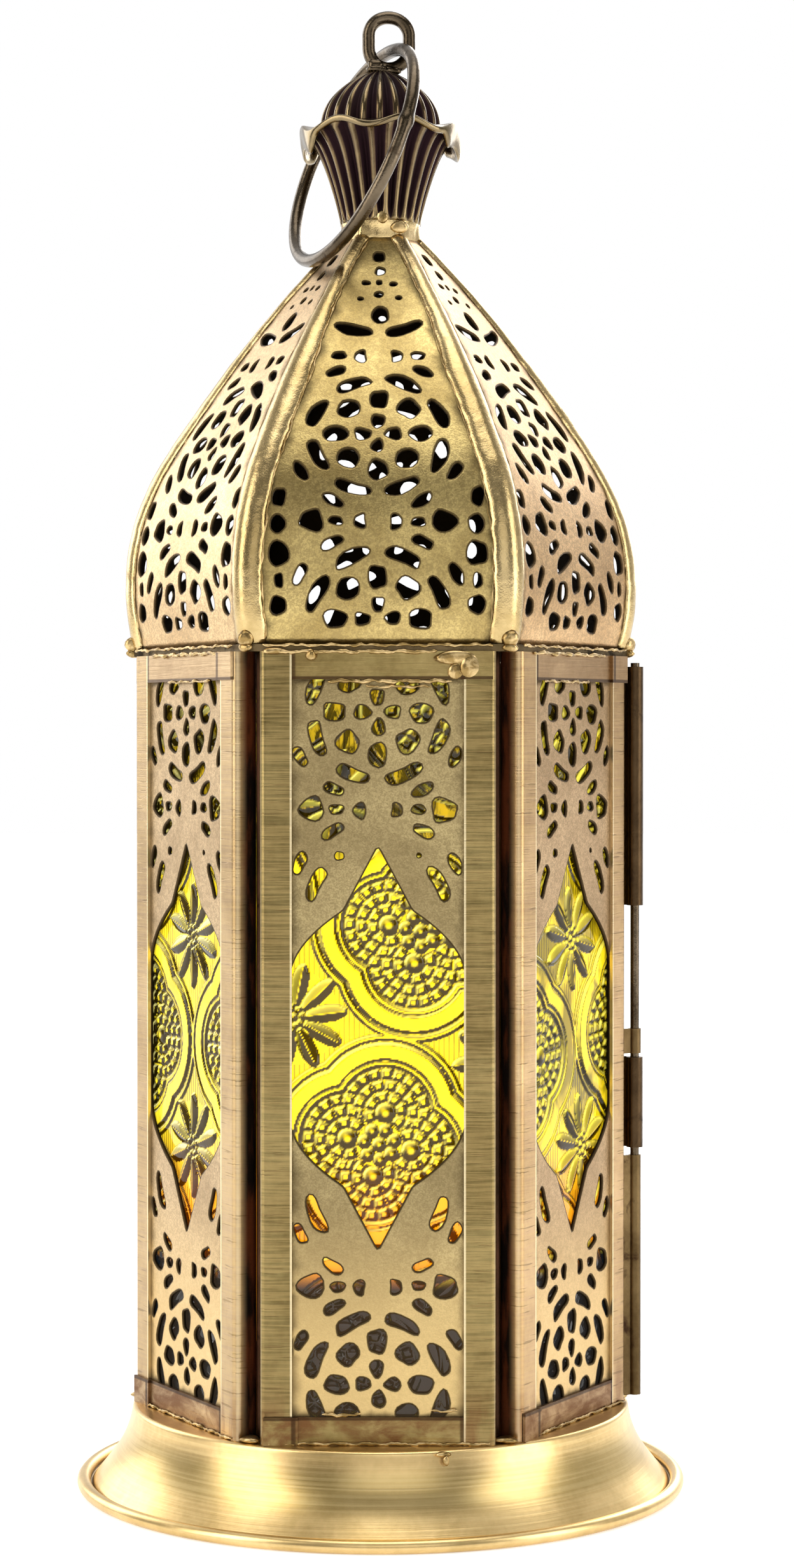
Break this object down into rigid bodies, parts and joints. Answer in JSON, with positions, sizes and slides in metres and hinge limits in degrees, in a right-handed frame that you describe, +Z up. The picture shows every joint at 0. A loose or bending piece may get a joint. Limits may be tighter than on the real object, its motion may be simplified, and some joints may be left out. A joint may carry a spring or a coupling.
{
  "type": "hanging lantern",
  "caption": "Hexagonal hanging candle lantern of pierced brass with pressed glass panes, hinged door, ribbed onion dome, fluted finial, wire eye, loose ring and spun round base.",
  "frame": {"origin": "on the ground at the centre of the round base", "axes": "+Z up along the lantern's axis, -Y towards the front panel, +X towards the door's hinge"},
  "size_m": [0.11, 0.11, 0.2671],
  "materials": {
    "frame_brass": "brushed, aged",
    "rail_brass": "brushed, aged",
    "plate_brass": "satin, aged",
    "rib_brass": "satin, aged",
    "base_brass": "spun, bright",
    "dark_brass": "dark patina",
    "finial_brass": "polished ridges, dark grooves",
    "wire_brass": "bronze-brown",
    "yellow_glass": "pressed, yellow"
  },
  "bodies": {
    "lantern": {"front_channels": "frame_brass", "front_rails": "rail_brass", "front_plate": "plate_brass", "front_glass": "yellow_glass", "front_right_channels": "frame_brass", "front_right_rails": "rail_brass", "front_right_plate": "plate_brass", "front_right_glass": "yellow_glass", "back_channels": "frame_brass", "back_rails": "rail_brass", "back_plate": "plate_brass", "back_glass": "yellow_glass", "back_left_channels": "frame_brass", "back_left_rails": "rail_brass", "back_left_plate": "plate_brass", "back_left_glass": "yellow_glass", "front_left_channels": "frame_brass", "front_left_rails": "rail_brass", "front_left_plate": "plate_brass", "front_left_glass": "yellow_glass", "dome_gore_front": "plate_brass", "dome_gore_front_right": "plate_brass", "dome_gore_back_right": "plate_brass", "dome_gore_back": "plate_brass", "dome_gore_back_left": "plate_brass", "dome_gore_front_left": "plate_brass", "dome_rib_1": "rib_brass", "dome_rib_2": "rib_brass", "dome_rib_3": "rib_brass", "dome_rib_4": "rib_brass", "dome_rib_5": "rib_brass", "dome_rib_6": "rib_brass", "base_skirt": "base_brass", "floor_plate": "dark_brass", "candle_cup": "dark_brass", "top_frame": "dark_brass", "neck_disc": "dark_brass", "fluted_cup": "finial_brass", "fluted_cap": "finial_brass", "eye_loop": "wire_brass", "hinge_pin": "wire_brass", "frame_knuckles": "wire_brass", "latch_rivet": "wire_brass"},
    "door": {"door_channels": "frame_brass", "door_rails": "rail_brass", "door_plate": "plate_brass", "door_glass": "yellow_glass", "door_knuckles": "wire_brass", "latch_catch": "plate_brass"},
    "latch": {"latch_plate": "plate_brass"},
    "ring": {"hanging_ring": "wire_brass"}
  },
  "joints": [
    {"name": "door_hinge", "type": "hinge", "parent": "lantern", "child": "door", "pos_m": [0.0462, 0, 0.08], "axis": [0, 0, -1], "range_deg": [0, 120]},
    {"name": "latch_pivot", "type": "hinge", "parent": "lantern", "child": "latch", "pos_m": [0.01741, 0.04216, 0.084], "axis": [-0.5, -0.866, 0], "range_deg": [0, 90]},
    {"name": "ring_swing", "type": "hinge", "parent": "lantern", "child": "ring", "pos_m": [0.0018, 0, 0.25964], "axis": [-0.4226, 0.9063, 0], "range_deg": [0, 300]}
  ]
}
